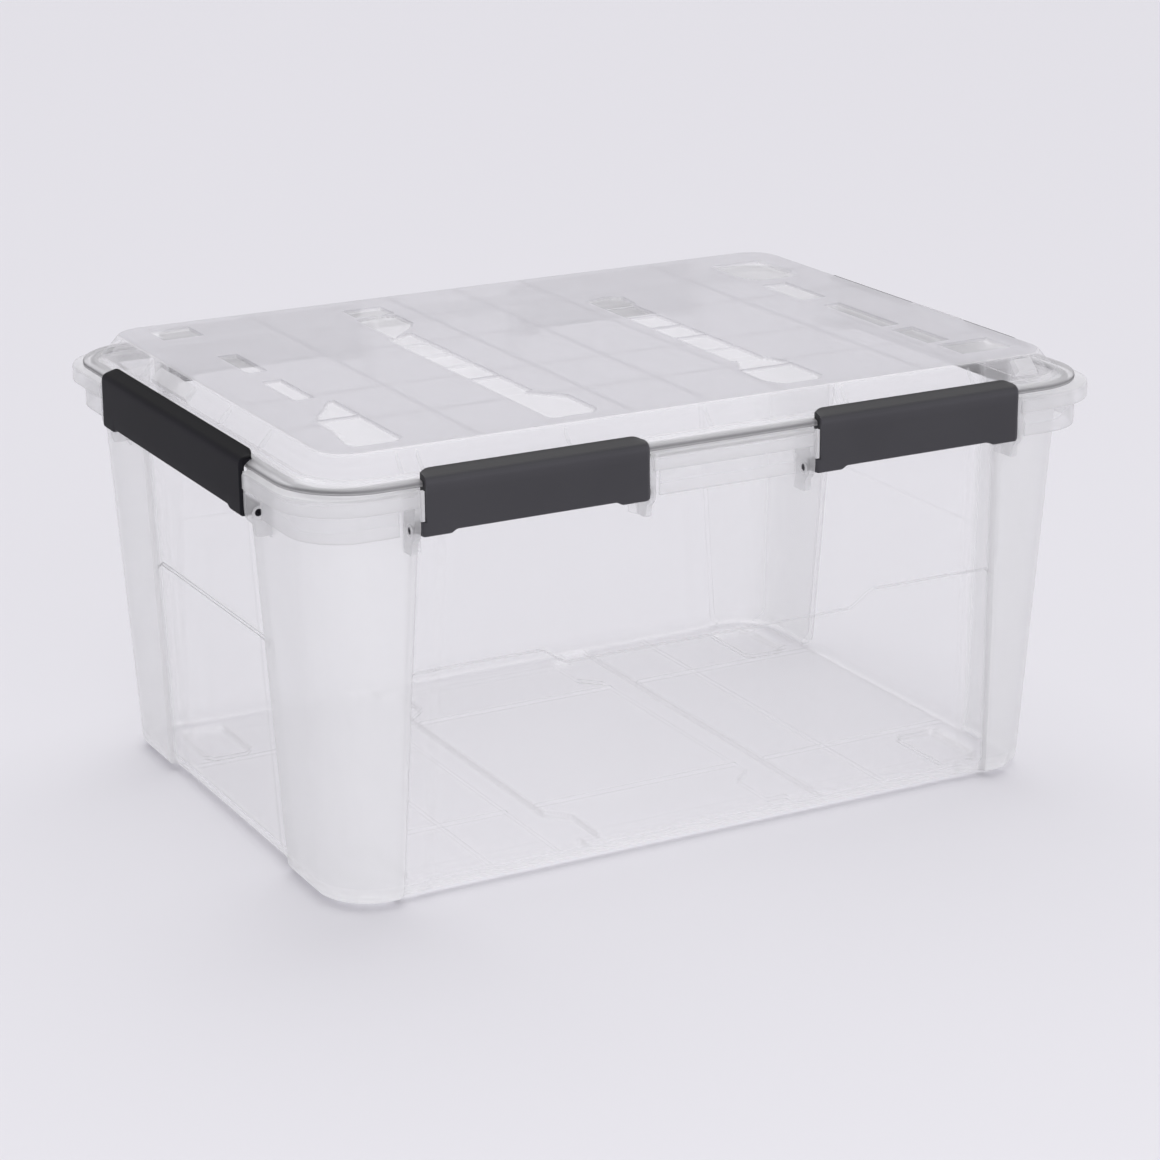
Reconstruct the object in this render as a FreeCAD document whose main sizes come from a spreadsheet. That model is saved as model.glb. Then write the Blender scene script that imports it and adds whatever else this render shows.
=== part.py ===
import FreeCAD, Part
import math
import os
import re

import Sketcher
from FreeCAD import Placement, Rotation, Vector

# Stackable storage bin, in millimetres.
# X runs along the long side, Y across it and Z up.
# The origin is on the floor, under the middle of the bin.
# "Inset" is the distance from the outermost face of the rim, straight in, on all four sides.

doc = FreeCAD.newDocument("storage_bin")
sheet = doc.addObject("Spreadsheet::Sheet", "sizes")

SIZES = {
    # overall outline of the rim, and the bin's height
    "bin_length": 600,
    "bin_width": 438,
    "bin_height": 302,
    # tub walls: insets and corner radii at the foot and at the rim's top
    "wall_thick": 2.5,
    "wall_inset_foot": 30,
    "wall_inset_rim": 16,
    "corner_foot": 38,
    "corner_rim": 40,
    # recessed side panels between the corner pillars
    "panel_step": 4.5,
    "panel_half_long_foot": 224.7,
    "panel_half_long_rim": 213.4,
    "panel_half_end_foot": 104,
    "panel_half_end_rim": 91.5,
    # floor and feet
    "foot_height": 2,
    "floor_thick": 2.5,
    "pad_near_y": 97,
    "pad_far_y": 162,
    "pad_mid_near_x": 68,
    "pad_mid_far_x": 102,
    "pad_end_near_x": 208,
    "pad_end_far_x": 241,
    "pad_play": 1,
    # rim: an outer skirt and a deeper inner skirt that hang from one top plate
    "rim_top": 282,
    "rim_plate": 3,
    "rim_corner": 46,
    "rim_edge_round": 2.5,
    "skirt_thick": 2.5,
    "outer_skirt_low": 271,
    "inner_skirt_low": 252,
    "inner_skirt_inset": 8.3,
    # lid: flange edge, flange, sloping wall, plateau
    "lid_low": 282.6,
    "lid_edge_inset": 5.2,
    "lid_edge_top": 284,
    "lid_bevel_inset": 9,
    "lid_bevel_top": 286.8,
    "lid_flange_inset": 18.6,
    "lid_flange_top": 288.6,
    "plateau_inset": 31,
    "lid_wall_foot": 286,
    "lid_wall_inset": 22.2,
    "plateau_under_inset": 33.6,
    "lid_thick": 2.5,
    "lip_inset": 24,
    "lip_low": 272,
    "lid_corner_edge": 50,
    "lid_corner_flange": 38,
    "plateau_corner": 22,
    "boss_margin": 2.5,
    # gasket channel under the flange, and the gasket
    "channel_near": 13.2,
    "channel_far": 18,
    "channel_top": 285.4,
    "seal_play": 0.1,
    "seal_low": 282.3,
    # latches: pivot, lengths and places
    "pivot_inset": 9.5,
    "pivot_z": 255,
    "latch_long": 158.6,
    "latch_long_x": 141.3,
    "latch_end": 247,
    # latch section, measured from the pivot: outward, or up
    "plate_out": 9.5,
    "plate_thick": 2.8,
    "plate_low": 1,
    "bend_up": 33.5,
    "bend_round": 2.2,
    "tip_in": 1.5,
    "tip_up": 38.3,
    "tip_under_drop": 1,
    "nose_up": 33.5,
    "nose_thick": 2.8,
    "leg_length": 21,
    "leg_low": 3,
    "leg_up": 5,
    "leg_in": 3.2,
    "rib_reach": 3,
    "rib_thick": 1.6,
    "rib_root": 0.5,
    "rib_low": 2,
    "rib_high": 25,
    # latch brackets of the tub
    "trunnion_radius": 2.5,
    "pivot_play": 0.07,
    "latch_play": 0.8,
    "fin_thick": 4,
    "fin_inset": 1.5,
    "fin_low": 239,
    "fin_root": 26,
    "fin_toe_inset": 7,
    "fin_toe_up": 12,
    "pocket_inset": 12.6,
    "pocket_low": 236,
    "skirt_gap": 9,
    "skirt_gap_high": 266,
    # how far a cut runs past the surface it opens
    "overcut": 1,
}
# How many ribs stand on the inner face of a latch, by the latch's length.
RIB_COUNTS = {"latch_long": 5, "latch_end": 8}
# Two edges closer than this count as being at the same place.
SAME_PLACE = 0.01

for row, (alias, number) in enumerate(SIZES.items(), start=1):
    sheet.set(f"A{row}", alias)
    sheet.set(f"B{row}", str(number))
    sheet.setAlias(f"B{row}", alias)
doc.recompute()


def size(expression):
    """The value of an expression in the sheet's aliases."""
    return float(sheet.evalExpression(expression))


def bound(expression):
    """The same expression, as an object outside the sheet has to write it."""
    return re.sub(r"[a-z]\w*", r"sizes.\g<0>", expression)


def bind(item, **expressions):
    """Bind properties of an object to expressions. A double underscore stands for a dot."""
    for name, expression in expressions.items():
        item.setExpression(name.replace("__", "."), bound(expression))


def new_body(label):
    body = doc.addObject("PartDesign::Body", label)
    body.Label = label
    return body


def origin_plane(body, role):
    return next(item for item in body.Origin.OriginFeatures if item.Role == role)


def new_sketch(body, name, role="XY_Plane", offset="0"):
    """A sketch on one of the body's origin planes, moved along its normal."""
    sketch = body.newObject("Sketcher::SketchObject", name)
    sketch.AttachmentSupport = [(origin_plane(body, role), "")]
    sketch.MapMode = "FlatFace"
    bind(sketch, AttachmentOffset__Base__z=offset)
    return sketch


def outline(sketch, corners):
    """A closed outline, counter-clockwise. A corner is (x, y, radius) in expressions; None is a sharp one."""
    points = [Vector(size(x), size(y), 0) for x, y, _ in corners]
    edges = []
    for index, (x, y, radius) in enumerate(corners):
        here = points[index]
        back = (points[index - 1] - here).normalize()
        ahead = (points[(index + 1) % len(corners)] - here).normalize()
        reach = size(radius) if radius else 0.0
        start, end = here + back * reach, here + ahead * reach
        if radius:
            centre = start + ahead * reach
            begin = math.atan2(start.y - centre.y, start.x - centre.x)
            circle = Part.Circle(centre, Vector(0, 0, 1), reach)
            arc = Part.ArcOfCircle(circle, begin, begin + math.pi / 2)
            edges.append((arc, start, _along(x, y, radius, back), radius))
        following = points[(index + 1) % len(corners)]
        next_radius = corners[(index + 1) % len(corners)][2]
        stop = following - ahead * (size(next_radius) if next_radius else 0.0)
        edges.append((Part.LineSegment(end, stop), end, _along(x, y, radius, ahead), None))
    numbers = [sketch.addGeometry(edge[0], False) for edge in edges]
    for index, number in enumerate(numbers):
        following = numbers[(index + 1) % len(numbers)]
        sketch.addConstraint(Sketcher.Constraint("Coincident", number, 2, following, 1))
    for number, (_, start, (x, y), radius) in zip(numbers, edges):
        across = sketch.addConstraint(Sketcher.Constraint("DistanceX", -1, 1, number, 1, start.x))
        sketch.setExpression(f"Constraints[{across}]", bound(x))
        upward = sketch.addConstraint(Sketcher.Constraint("DistanceY", -1, 1, number, 1, start.y))
        sketch.setExpression(f"Constraints[{upward}]", bound(y))
        if radius:
            round_off = sketch.addConstraint(Sketcher.Constraint("Radius", number, size(radius)))
            sketch.setExpression(f"Constraints[{round_off}]", bound(radius))


def _along(x, y, radius, direction):
    """A corner's expressions, moved by its radius along an axis direction."""
    if not radius:
        return x, y
    if abs(direction.x) > 0.5:
        return f"{x} + ({radius}) * {round(direction.x)}", y
    return x, f"{y} + ({radius}) * {round(direction.y)}"


def rectangle(sketch, x_low, x_high, y_low, y_high, radius=None):
    places = ((x_low, y_low), (x_high, y_low), (x_high, y_high), (x_low, y_high))
    outline(sketch, [(x, y, radius) for x, y in places])


def ring_outline(sketch, inset, radius):
    """A rounded rectangle at one inset from the rim's outermost face."""
    half_x, half_y = f"bin_length / 2 - ({inset})", f"bin_width / 2 - ({inset})"
    rectangle(sketch, f"-({half_x})", half_x, f"-({half_y})", half_y, radius)


def wall_outline(sketch, inset, radius, panel_long, panel_end):
    """The tub's outline: corner pillars, with a recessed panel between them on each side."""
    half_x, half_y = f"(bin_length / 2 - ({inset}))", f"(bin_width / 2 - ({inset}))"
    deep_x, deep_y = f"({half_x} - panel_step)", f"({half_y} - panel_step)"
    front = [
        (f"-{half_x}", f"-{half_y}", radius),
        (f"-({panel_long})", f"-{half_y}", None),
        (f"-({panel_long})", f"-{deep_y}", None),
        (f"{panel_long}", f"-{deep_y}", None),
        (f"{panel_long}", f"-{half_y}", None),
        (half_x, f"-{half_y}", radius),
        (half_x, f"-({panel_end})", None),
        (deep_x, f"-({panel_end})", None),
        (deep_x, f"{panel_end}", None),
        (half_x, f"{panel_end}", None),
        (half_x, half_y, radius),
        (f"{panel_long}", half_y, None),
        (f"{panel_long}", deep_y, None),
        (f"-({panel_long})", deep_y, None),
        (f"-({panel_long})", half_y, None),
        (f"-{half_x}", half_y, radius),
        (f"-{half_x}", f"{panel_end}", None),
        (f"-{deep_x}", f"{panel_end}", None),
        (f"-{deep_x}", f"-({panel_end})", None),
        (f"-{half_x}", f"-({panel_end})", None),
    ]
    outline(sketch, front)


def pad(body, name, sketch, length):
    feature = body.newObject("PartDesign::Pad", name)
    feature.Profile = sketch
    bind(feature, Length=length)
    return feature


def pocket_up(body, name, sketch, depth):
    """A pocket that cuts upwards from its sketch."""
    feature = body.newObject("PartDesign::Pocket", name)
    feature.Profile = sketch
    feature.Reversed = True
    bind(feature, Length=depth)
    return feature


def loft(body, name, low, high, kind="Additive"):
    feature = body.newObject(f"PartDesign::{kind}Loft", name)
    feature.Profile = low
    feature.Sections = [high]
    feature.Ruled = True
    return feature


def block(body, name, kind, low, high):
    """An additive or subtractive box between two corners, given as expressions."""
    feature = body.newObject(f"PartDesign::{kind}Box", name)
    bind(
        feature,
        Length=f"({high[0]}) - ({low[0]})",
        Width=f"({high[1]}) - ({low[1]})",
        Height=f"({high[2]}) - ({low[2]})",
        Placement__Base__x=low[0],
        Placement__Base__y=low[1],
        Placement__Base__z=low[2],
    )
    return feature


def rod(body, name, kind, start, length, radius, turn):
    """An additive or subtractive cylinder that leaves its start point after one turn of the Z axis."""
    feature = body.newObject(f"PartDesign::{kind}Cylinder", name)
    feature.Placement.Rotation = turn
    bind(
        feature,
        Radius=radius,
        Height=length,
        Placement__Base__x=start[0],
        Placement__Base__y=start[1],
        Placement__Base__z=start[2],
    )
    return feature


ALONG_X = Rotation(Vector(0, 1, 0), 90)
ALONG_Y = Rotation(Vector(1, 0, 0), -90)


def pad_rectangles(sketch, margin):
    """The eight stacking pads: four near the corners and four on the two middle bars."""
    spans_x = [("pad_mid_near_x", "pad_mid_far_x"), ("pad_end_near_x", "pad_end_far_x")]
    near_y, far_y = f"(pad_near_y - ({margin}))", f"(pad_far_y + ({margin}))"
    for near, far in spans_x:
        near_x, far_x = f"({near} - ({margin}))", f"({far} + ({margin}))"
        for x_low, x_high in ((near_x, far_x), (f"-{far_x}", f"-{near_x}")):
            rectangle(sketch, x_low, x_high, near_y, far_y)
            rectangle(sketch, x_low, x_high, f"-{far_y}", f"-{near_y}")


# The six latch sites: name, side of the bin, middle along that side, length.
LATCH_SITES = [
    ("latch_front_left", "front", "-latch_long_x", "latch_long"),
    ("latch_front_right", "front", "latch_long_x", "latch_long"),
    ("latch_back_left", "back", "-latch_long_x", "latch_long"),
    ("latch_back_right", "back", "latch_long_x", "latch_long"),
    ("latch_left", "left", "0", "latch_end"),
    ("latch_right", "right", "0", "latch_end"),
]


def site_corners(side, start, stop, near, far, low, high):
    """Two corners of a box at a latch site, spanning start..stop along the side and near..far in inset."""
    half = "bin_width / 2" if side in ("front", "back") else "bin_length / 2"
    if side in ("front", "left"):
        cross = (f"-({half}) + ({near})", f"-({half}) + ({far})")
    else:
        cross = (f"({half}) - ({far})", f"({half}) - ({near})")
    if side in ("front", "back"):
        return (start, cross[0], low), (stop, cross[1], high)
    return (cross[0], start, low), (cross[1], stop, high)


def add_bracket(body, name, side, start, stop):
    """The open pocket in the rim for one latch, and the two fins its trunnions turn in."""
    outer_start = f"{start} - latch_play - fin_thick"
    outer_stop = f"{stop} + latch_play + fin_thick"
    low, high = site_corners(
        side,
        f"{outer_start} + fin_thick / 2",
        f"{outer_stop} - fin_thick / 2",
        "-overcut",
        "pocket_inset",
        "pocket_low",
        "rim_top + overcut",
    )
    block(body, f"{name}_pocket", "Subtractive", low, high)
    fins = (
        ("low", outer_start, f"{start} - latch_play", f"{outer_start} - skirt_gap"),
        ("high", f"{stop} + latch_play", outer_stop, outer_stop),
    )
    for end, fin_start, fin_stop, gap_start in fins:
        low, high = site_corners(
            side,
            gap_start,
            f"{gap_start} + skirt_gap",
            "inner_skirt_inset - overcut",
            "pocket_inset",
            "inner_skirt_low - overcut",
            "skirt_gap_high",
        )
        block(body, f"{name}_gap_{end}", "Subtractive", low, high)
        low, high = site_corners(side, fin_start, fin_stop, "fin_inset", "fin_root", "fin_low", "rim_top")
        block(body, f"{name}_fin_{end}", "Additive", low, high)
    low, high = site_corners(
        side,
        f"{outer_start} - overcut",
        f"{outer_stop} + overcut",
        "fin_inset - overcut",
        "fin_toe_inset",
        "fin_low - overcut",
        "fin_low + fin_toe_up",
    )
    block(body, f"{name}_toe", "Subtractive", low, high)
    line, _ = site_corners(
        side, f"{outer_start} - overcut", stop, "pivot_inset", "pivot_inset", "pivot_z", "pivot_z"
    )
    rod(
        body,
        f"{name}_bore",
        "Subtractive",
        line,
        f"({outer_stop}) - ({outer_start}) + 2 * overcut",
        "trunnion_radius + pivot_play",
        ALONG_X if side in ("front", "back") else ALONG_Y,
    )


def make_tub():
    body = new_body("tub")
    outer = {}
    for end, level in (("foot", "foot_height"), ("rim", "rim_top")):
        outer[end] = new_sketch(body, f"tub_outside_{end}", offset=level)
        wall_outline(
            outer[end],
            f"wall_inset_{end}",
            f"corner_{end}",
            f"panel_half_long_{end}",
            f"panel_half_end_{end}",
        )
    loft(body, "tub_outside", outer["foot"], outer["rim"])

    plate = new_sketch(body, "rim_plate_outline", offset="rim_top - rim_plate")
    ring_outline(plate, "0", "rim_corner")
    rim = pad(body, "rim_top_plate", plate, "rim_plate")
    doc.recompute()
    rim_top = size("rim_top")
    reach_x = size("bin_length / 2 - rim_corner / 2")
    reach_y = size("bin_width / 2 - rim_corner / 2")
    top_edges = []
    for number, edge in enumerate(rim.Shape.Edges, start=1):
        box = edge.BoundBox
        middle = edge.CenterOfMass
        on_top = abs(box.ZMin - rim_top) < SAME_PLACE and abs(box.ZMax - rim_top) < SAME_PLACE
        if on_top and (abs(middle.x) > reach_x or abs(middle.y) > reach_y):
            top_edges.append(f"Edge{number}")
    rounded = body.newObject("PartDesign::Fillet", "rim_edge_fillet")
    rounded.Base = (rim, top_edges)
    bind(rounded, Radius="rim_edge_round")

    skirts = (
        ("outer_skirt", "0", "outer_skirt_low"),
        ("inner_skirt", "inner_skirt_inset", "inner_skirt_low"),
    )
    for name, inset, low in skirts:
        ring = new_sketch(body, f"{name}_outline", offset=low)
        ring_outline(ring, inset, f"rim_corner - ({inset})")
        ring_outline(ring, f"{inset} + skirt_thick", f"rim_corner - ({inset}) - skirt_thick")
        pad(body, name, ring, f"rim_top - rim_plate / 2 - {low}")

    pads = new_sketch(body, "feet_outline")
    pad_rectangles(pads, "0")
    pad(body, "feet", pads, "foot_height + floor_thick / 2")

    for name, side, middle, length in LATCH_SITES:
        add_bracket(body, name, side, f"{middle} - {length} / 2", f"{middle} + {length} / 2")

    inner = {}
    for end, level in (("foot", "foot_height + floor_thick"), ("rim", "rim_top + foot_height + floor_thick")):
        inner[end] = new_sketch(body, f"tub_inside_{end}", offset=level)
        wall_outline(
            inner[end],
            f"wall_inset_{end} + wall_thick",
            f"corner_{end} - wall_thick",
            f"panel_half_long_{end} + wall_thick",
            f"panel_half_end_{end} + wall_thick",
        )
    loft(body, "tub_inside", inner["foot"], inner["rim"], "Subtractive")
    return body


def follows_edge(inset):
    """The corner radius that keeps a ring at this inset parallel to the lid's outer edge."""
    return f"lid_corner_edge - {inset} + lid_edge_inset"


def make_lid():
    body = new_body("lid")
    rings = [
        ("edge_low", "lid_low", "lid_edge_inset", "lid_corner_edge"),
        ("edge_high", "lid_edge_top", "lid_edge_inset", "lid_corner_edge"),
        ("bevel", "lid_bevel_top", "lid_bevel_inset", follows_edge("lid_bevel_inset")),
        ("flange", "lid_flange_top", "lid_flange_inset", "lid_corner_flange"),
        ("plateau", "bin_height", "plateau_inset", "plateau_corner"),
    ]
    for (low_name, *low), (high_name, *high) in zip(rings, rings[1:]):
        ends = []
        for tag, (level, inset, radius) in (("foot", low), ("head", high)):
            ends.append(new_sketch(body, f"lid_{low_name}_{tag}", offset=level))
            ring_outline(ends[-1], inset, radius)
        loft(body, f"lid_{low_name}_to_{high_name}", *ends)

    mouth = new_sketch(body, "lid_mouth_outline", offset="lid_low")
    ring_outline(mouth, "lip_inset + wall_thick", "lid_corner_flange - wall_thick")
    pocket_up(body, "lid_mouth", mouth, "lid_wall_foot - lid_low")
    under = []
    spans = (
        ("foot", "lid_wall_foot", "lid_wall_inset"),
        ("head", "bin_height - lid_thick", "plateau_under_inset"),
    )
    for tag, level, inset in spans:
        under.append(new_sketch(body, f"lid_under_{tag}", offset=level))
        ring_outline(under[-1], inset, "plateau_corner")
    loft(body, "lid_under", *under, "Subtractive")

    lip = new_sketch(body, "lid_lip_outline", offset="lip_low")
    ring_outline(lip, "lip_inset", "lid_corner_flange")
    ring_outline(lip, "lip_inset + wall_thick", "lid_corner_flange - wall_thick")
    pad(body, "lid_lip", lip, "(lid_low + lid_wall_foot) / 2 - lip_low")

    channel = new_sketch(body, "seal_channel_outline", offset="lid_low")
    ring_outline(channel, "channel_near", follows_edge("channel_near"))
    ring_outline(channel, "channel_far", follows_edge("channel_far"))
    pocket_up(body, "seal_channel", channel, "channel_top - lid_low")

    bosses = new_sketch(body, "stacking_boss_outline", offset="bin_height - lid_thick - foot_height")
    pad_rectangles(bosses, "pad_play + boss_margin")
    pad(body, "stacking_bosses", bosses, "lid_thick / 2 + foot_height")
    recesses = new_sketch(body, "stacking_recess_outline", offset="bin_height - foot_height")
    pad_rectangles(recesses, "pad_play")
    pocket_up(body, "stacking_recesses", recesses, "foot_height")
    return body


def make_seal():
    body = new_body("lid_seal")
    ring = new_sketch(body, "seal_outline", offset="seal_low")
    ring_outline(ring, "channel_near + seal_play", follows_edge("channel_near"))
    ring_outline(ring, "channel_far - seal_play", follows_edge("channel_far"))
    pad(body, "seal_ring", ring, "channel_top - seal_low")
    return body


def make_latch(name, side, middle, length):
    """One latch, made about its pivot: its own X is the pivot's line, its own -Y points out of the bin."""
    body = new_body(name)
    section = new_sketch(body, f"{name}_section", "YZ_Plane", f"-{length} / 2")
    inside = "plate_out - plate_thick"
    outline(
        section,
        [
            ("-plate_out", "-plate_low", None),
            (f"-({inside})", "-plate_low", None),
            (f"-({inside})", "bend_up - plate_thick", None),
            ("tip_in - nose_thick", "tip_up - plate_thick - tip_under_drop", None),
            ("tip_in - nose_thick", "nose_up", None),
            ("tip_in", "nose_up", None),
            ("tip_in", "tip_up", None),
            ("-plate_out", "bend_up", None),
        ],
    )
    plate = pad(body, f"{name}_plate", section, length)
    doc.recompute()
    bend = []
    for number, edge in enumerate(plate.Shape.Edges, start=1):
        box = edge.BoundBox
        at_bend_y = abs(box.YMin + size("plate_out")) < SAME_PLACE
        at_bend_z = abs(box.ZMin - size("bend_up")) < SAME_PLACE
        along_pivot = box.XLength > size("plate_thick") and box.YLength < SAME_PLACE
        if at_bend_y and at_bend_z and along_pivot:
            bend.append(f"Edge{number}")
    rounded = body.newObject("PartDesign::Fillet", f"{name}_bend")
    rounded.Base = (plate, bend)
    bind(rounded, Radius="bend_round")

    ends = (
        ("low", f"-{length} / 2", f"-{length} / 2 + leg_length"),
        ("high", f"{length} / 2 - leg_length", f"{length} / 2"),
    )
    for end, start, stop in ends:
        low, high = (start, "-plate_out", "-leg_low"), (stop, "leg_in", "leg_up")
        block(body, f"{name}_leg_{end}", "Additive", low, high)
    reach = "latch_play + fin_thick"
    spigots = (("low", f"-{length} / 2 - ({reach})"), ("high", f"{length} / 2 - leg_length / 2"))
    for end, start in spigots:
        rod(
            body,
            f"{name}_trunnion_{end}",
            "Additive",
            (start, "0", "0"),
            f"{reach} + leg_length / 2",
            "trunnion_radius",
            ALONG_X,
        )
    for index in range(RIB_COUNTS[length]):
        place = f"{length} * ({index} + 0.5) / {RIB_COUNTS[length]} - {length} / 2"
        low = (f"{place} - rib_thick / 2", f"-({inside}) - rib_root", "rib_low")
        high = (f"{place} + rib_thick / 2", f"-({inside}) + rib_reach", "rib_high")
        block(body, f"{name}_rib_{index + 1}", "Additive", low, high)

    turn = {"front": 0, "right": 90, "back": 180, "left": 270}[side]
    along, height = size(middle), size("pivot_z")
    out_x, out_y = size("bin_length / 2 - pivot_inset"), size("bin_width / 2 - pivot_inset")
    spot = {
        "front": Vector(along, -out_y, height),
        "right": Vector(out_x, along, height),
        "back": Vector(along, out_y, height),
        "left": Vector(-out_x, along, height),
    }[side]
    body.Placement = Placement(spot, Rotation(Vector(0, 0, 1), turn))
    return body


bodies = [make_tub(), make_lid(), make_seal()]
bodies += [make_latch(*site) for site in LATCH_SITES]
doc.recompute()

for item in doc.Objects:
    if "Invalid" in item.State or "Error" in item.State:
        raise RuntimeError(f"{item.Name} did not recompute: {item.State}")
for body in bodies:
    if body.Shape.isNull() or not body.Shape.isValid():
        raise RuntimeError(f"{body.Label} has no valid shape")

os.makedirs("parts", exist_ok=True)
for body in bodies:
    body.Shape.exportStep(f"parts/{body.Label}.step")
    box = body.Shape.BoundBox
    print(
        f"{body.Label}: {len(body.Shape.Solids)} solid, {body.Shape.Volume / 1000:.1f} cm3, "
        f"x {box.XMin:.1f}..{box.XMax:.1f}, y {box.YMin:.1f}..{box.YMax:.1f}, "
        f"z {box.ZMin:.1f}..{box.ZMax:.1f}"
    )
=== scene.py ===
import math

import bpy
import numpy as np
from mathutils import Matrix, Vector


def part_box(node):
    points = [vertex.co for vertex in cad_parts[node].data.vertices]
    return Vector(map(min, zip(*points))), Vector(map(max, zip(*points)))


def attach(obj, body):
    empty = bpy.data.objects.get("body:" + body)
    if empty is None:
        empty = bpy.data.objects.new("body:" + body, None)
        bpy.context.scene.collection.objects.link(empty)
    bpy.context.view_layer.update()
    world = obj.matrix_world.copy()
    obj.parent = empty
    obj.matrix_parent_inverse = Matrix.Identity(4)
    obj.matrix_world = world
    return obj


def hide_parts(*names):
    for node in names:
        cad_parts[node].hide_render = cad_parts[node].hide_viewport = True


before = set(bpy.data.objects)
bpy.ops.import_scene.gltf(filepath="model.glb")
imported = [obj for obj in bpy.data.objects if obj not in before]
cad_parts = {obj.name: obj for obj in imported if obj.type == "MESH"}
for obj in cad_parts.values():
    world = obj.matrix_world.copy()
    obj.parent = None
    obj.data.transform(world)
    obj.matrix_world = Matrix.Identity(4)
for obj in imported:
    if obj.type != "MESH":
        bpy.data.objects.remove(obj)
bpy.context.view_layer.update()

# Everything below is in millimetres until it becomes a mesh.
# "Inset" is the distance in from the rim's outermost face.
MM = 0.001
HALF_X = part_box("tub")[1][0] / MM
HALF_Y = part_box("tub")[1][1] / MM
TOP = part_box("lid")[1][2] / MM
RIM_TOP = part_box("tub")[1][2] / MM
LID_LOW = RIM_TOP + 0.6
RIM_CORNER = 46.0

# The rim's top plate: how thick it is, and the inset at which the walls take over from it.
RIM_PLATE, RIM_REACH = 3.0, 12.6

# The tub's walls, at the foot and at the rim.
WALL = 2.5
FOOT_Z, FLOOR = 2.0, 2.5
WALL_INSET = (30.0, 16.0)
WALL_CORNER = (38.0, 40.0)
PANEL_STEP = 4.5
PANEL_LONG = (224.7, 213.4)
PANEL_END = (104.0, 91.5)

# Latches: side, middle along the side, half length. The pivot is the same on all of them.
LONG_PLACE, LONG_HALF, END_HALF = 141.3, 79.3, 123.5
LATCHES = {
    "latch_front_left": ("front", -LONG_PLACE, LONG_HALF),
    "latch_front_right": ("front", LONG_PLACE, LONG_HALF),
    "latch_back_left": ("back", -LONG_PLACE, LONG_HALF),
    "latch_back_right": ("back", LONG_PLACE, LONG_HALF),
    "latch_left": ("left", 0.0, END_HALF),
    "latch_right": ("right", 0.0, END_HALF),
}
LATCH_RIBS = {LONG_HALF: 5, END_HALF: 8}
PIVOT_INSET, PIVOT_Z = 9.5, 255.0
LATCH_PLAY, FIN = 0.8, 4.0
TRUNNION, BORE = 2.5, 2.57


# ---------------------------------------------------------------- meshes


class Build:
    """Collects vertices and faces, then makes one object of them."""

    def __init__(self):
        self.points, self.faces, self.count = [], [], 0
        self.shades = {"frost": [], "painted_shade": []}

    def add(self, points, frost=0.0, painted_shade=0.0):
        """frost says how milky the plastic is there, and the other value how strongly a painted dark line of
        shade shows there; a negative value paints a highlight instead.
        """
        points = np.asarray(points, float)
        first = self.count
        self.points.append(points)
        for name, value in (("frost", frost), ("painted_shade", painted_shade)):
            self.shades[name].append(np.broadcast_to(np.asarray(value, float), (len(points),)).copy())
        self.count += len(points)
        return np.arange(first, self.count)

    def face(self, corners):
        self.faces.append([int(c) for c in corners])

    def bridge(self, low, high):
        """Quads between two closed rows of the same length."""
        for k in range(len(low)):
            m = (k + 1) % len(low)
            self.face((low[k], low[m], high[m], high[k]))

    def sheet(self, index, flip=False):
        """Quads over a 2-D array of vertex numbers."""
        rows, columns = index.shape
        for i in range(rows - 1):
            for j in range(columns - 1):
                quad = (index[i, j], index[i + 1, j], index[i + 1, j + 1], index[i, j + 1])
                self.face(quad[::-1] if flip else quad)

    def block(self, corners, frost=0.0, painted_shade=0.0):
        """A block from eight corners, counted along x, then y, then z."""
        v = self.add(corners, frost, painted_shade)
        for quad in ((0, 2, 3, 1), (4, 5, 7, 6), (0, 1, 5, 4), (2, 6, 7, 3), (0, 4, 6, 2), (1, 3, 7, 5)):
            self.face([v[q] for q in quad])

    def make(self, name, material, smooth, place=None):
        """The finished object. Edges sharper than smooth, in degrees, stay sharp."""
        mesh = bpy.data.meshes.new(name)
        points = np.concatenate(self.points) * MM
        if place is not None:
            points = points @ np.array(place.to_3x3()).T + np.array(place.translation)
        mesh.from_pydata(points.tolist(), [], self.faces)
        mesh.materials.append(material)
        for shade, values in self.shades.items():
            layer = mesh.attributes.new(shade, "FLOAT", "POINT")
            layer.data.foreach_set("value", np.concatenate(values))
        mesh.polygons.foreach_set("use_smooth", [True] * len(self.faces))
        mesh.validate()
        mesh.set_sharp_from_angle(angle=math.radians(smooth))
        obj = bpy.data.objects.new(name, mesh)
        bpy.context.scene.collection.objects.link(obj)
        return obj


def smooth_step(value, start, stop):
    """0 up to start, 1 from stop on, and a soft rise between them."""
    t = np.clip((value - start) / (stop - start), 0, 1)
    return t * t * (3 - 2 * t)


def mixed(pair, z):
    """A wall size at height z, between its values at the foot and at the rim."""
    t = (z - FOOT_Z) / (RIM_TOP - FOOT_Z)
    return pair[0] + (pair[1] - pair[0]) * t


def round_steps(count):
    """The cosine and sine of count equal steps round a circle."""
    angles = [2 * math.pi * k / count for k in range(count)]
    return [(math.cos(angle), math.sin(angle)) for angle in angles]


# ---------------------------------------------------------------- loops round the bin

CORNER_ANGLES = np.radians(np.linspace(0, 45, 7))
# Grid lines closer than LINE_GAP to the one before, or closer than END_GAP to a corner, are left out.
LINE_GAP, END_GAP = 0.45, 0.3
# How far outside everything a point starts, when the depths inside several outlines are compared.
FAR = 1e9


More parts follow.
